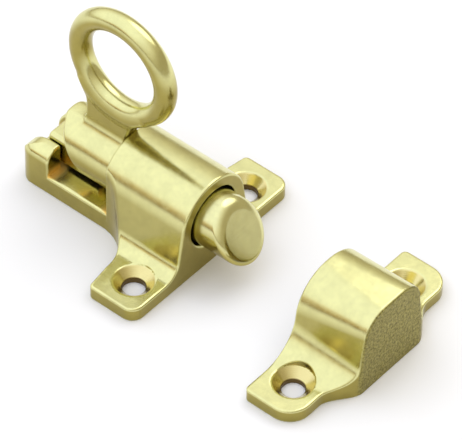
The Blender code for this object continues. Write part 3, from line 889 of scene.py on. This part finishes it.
def pull_field(x, y, z):
    """The distance to the ring pull, with a fillet at each place where two of its forms meet."""
    off_axis = np.hypot(y, z - axis_z)
    slant = (block_rear_x - x) * math.cos(block_slant) - (z - axis_z) * math.sin(block_slant)
    block = rounded_both(off_axis - block_radius, np.maximum(x - block_front_x, slant), block_round)
    ring = np.hypot(np.hypot(x - ring_x, z - ring_z) - ring_mean, y) - ring_section
    heel = outline_distance(x, z, heel_outline)
    side_view = filleted(outline_distance(x, z, web_outline), heel, heel_blend)
    web = rounded_both(side_view, np.abs(y) - web_half, web_round)
    crown = rounded_both(z - tongue_top, np.abs(y) - tongue_half, tongue_top_round)
    tongue = rounded_both(crown, tongue_rear_x - x, tongue_rear_round)
    tongue = np.maximum(np.maximum(tongue, tongue_bottom - z), x - tongue_front_x)
    pull = filleted(filleted(web, ring, ring_blend), block, block_blend)
    pull = filleted(pull, tongue, tongue_blend)
    socket = np.maximum(off_axis - shank_hole_radius, socket_end_x - x)
    return rounded_both(pull, -socket, hole_round)


pull = cast_skin(
    "ring_pull_skin", pull_field, (tongue_rear_x, -block_radius, axis_z - block_radius),
    (ring_x + ring_mean + ring_section, block_radius, ring_z + ring_mean + ring_section), pitch=0.22,
)
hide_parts("ring_pull")
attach(pull, "sliding_bolt")


def pull_brass():
    """Mop-polished cast brass all over, with a relief a little finer than the body's."""
    material, tree, _, colour, roughness, height = brass("pull_brass", *casting_tones_and_painted_light)
    finish_metal(tree, colour, roughness, height, pull_relief)
    return material


pull.data.materials.append(pull_brass())


# Bolt
# Turned from brass bar and polished: a stout nose with a bevelled end, and a thinner shank that
# runs back through the barrel into the ring pull's block.
nose_radius = 5.8
nose_tip_x = front_x + 7.2
nose_round = 1.6
nose_lean = math.tan(math.radians(29.5))
nose_rim_step = 0.02
nose_face_step = 0.05
nose_straight = 2.0
shoulder_x = front_x - 6.3
shank_radius = 2.5
shank_end_x = block_front_x - 7.0
turned_chamfer = 0.4
turned_steps = 128
# Tones for upper faces, for walls, where the darker tone is painted shade, and for corners, where the gold
# is a painted reflection of bounced light.
bar_tones_and_painted_light = ((0.73, 0.71, 0.35), (0.46, 0.39, 0.11), (0.54, 0.39, 0.09))
bar_relief = 0.02
lathe_waves = 5200.0
lathe_drift = 60.0
lathe_height = 0.12


def turned_skin(name, stations, steps):
    """A bar turned about the bolt's axis, from stations (x, radius, lean).

    A point at angle a on a station lies at radius r from the axis, and its x falls by the lean times
    its rise r sin a. The ends close at one point each.
    """
    x, radius, lean = (column[:, None] for column in np.array(stations).T)
    angle = np.linspace(0.0, 2.0 * math.pi, steps, endpoint=False)[None, :]
    rise = radius * np.sin(angle)
    grid = np.stack([x - lean * rise, radius * np.cos(angle), axis_z + rise], -1)
    count = len(stations)
    middles = [(x[0, 0], 0.0, axis_z), (x[-1, 0], 0.0, axis_z)]
    points = np.concatenate([grid.reshape(-1, 3), middles])
    row, column = np.meshgrid(np.arange(count - 1), np.arange(steps), indexing="ij")
    after = (column + 1) % steps
    quads = np.stack([
        row * steps + column, (row + 1) * steps + column, (row + 1) * steps + after, row * steps + after,
    ], -1).reshape(-1, 4)
    first, last = count * steps, count * steps + 1
    round_ends = np.arange(steps)
    start_fan = np.stack([np.full(steps, first), round_ends, (round_ends + 1) % steps], 1)
    top = (count - 1) * steps
    end_fan = np.stack([np.full(steps, last), top + (round_ends + 1) % steps, top + round_ends], 1)
    mesh = bpy.data.meshes.new(name)
    mesh.from_pydata((points * MM).tolist(), [], quads.tolist() + start_fan.tolist() + end_fan.tolist())
    mesh.shade_smooth()
    mesh.set_sharp_from_angle(angle=math.radians(30.0))
    item = bpy.data.objects.new(name, mesh)
    bpy.context.scene.collection.objects.link(item)
    return item


nose_edge = arc_points((0.0, nose_radius - nose_round), nose_round, 90, 0, 14)
bolt_stations = [
    (shank_end_x, shank_radius - turned_chamfer, 0.0),
    (shank_end_x + turned_chamfer, shank_radius, 0.0),
    (shoulder_x, shank_radius, 0.0),
    (shoulder_x, nose_radius - turned_chamfer, 0.0),
    (shoulder_x + turned_chamfer, nose_radius, 0.0),
    (shoulder_x + nose_straight, nose_radius, 0.0),
    (nose_tip_x - nose_round - nose_rim_step, nose_radius, nose_lean),
]
bolt_stations += [(nose_tip_x - nose_round + along, radius, nose_lean) for along, radius in nose_edge]
bolt_stations += [(nose_tip_x, nose_radius - nose_round - nose_face_step, nose_lean)]
bolt = turned_skin("bolt_skin", bolt_stations, turned_steps)
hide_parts("bolt")
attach(bolt, "sliding_bolt")


def bar_brass(name):
    """Drawn brass bar with the fine rings of the lathe, which cross the bevel as straight grooves."""
    material, tree, position, colour, roughness, height = brass(
        name, *bar_tones_and_painted_light, scratches=0.3, hollows=0.3
    )
    lathe = stretched(tree, position, (lathe_waves, lathe_drift, lathe_waves * nose_lean))
    rings = noise(tree, lathe, scale=1.0, detail=2.0, roughness=0.6)
    height = number(tree, "MULTIPLY_ADD", rings, lathe_height, height)
    finish_metal(tree, colour, roughness, height, bar_relief)
    return material


bolt.data.materials.append(bar_brass("bolt_brass"))


# Spring and retaining pin
# A bright steel compression spring round the shank, and the brass pin that holds the pull on it.
# Both are hidden inside, and keep their solids.
wire_tones = ((0.42, 0.42, 0.43, 1.0), (0.62, 0.61, 0.60, 1.0))
wire_relief = 0.01


def spring_wire():
    """Hard-drawn steel wire with a faint grey mottle and the fine lines of the die."""
    material = bpy.data.materials.new("spring_wire")
    material.use_nodes = True
    tree = material.node_tree
    position = placed(tree, "ShaderNodeTexCoord").outputs["Object"]
    mottle = noise(tree, position, scale=1500.0, detail=4.0, roughness=0.7)
    colour = blended(tree, mottle, *wire_tones)
    roughness = eased(tree, mottle, 0.3, 0.7, low=0.22, high=0.38)
    die_lines = noise(tree, position, scale=5200.0, detail=3.0, roughness=0.7)
    finish_metal(tree, colour, roughness, die_lines, wire_relief)
    return material


for node_name, material in (("bolt_spring", spring_wire()), ("retaining_pin", bar_brass("pin_brass"))):
    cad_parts[node_name].data.materials.clear()
    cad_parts[node_name].data.materials.append(material)
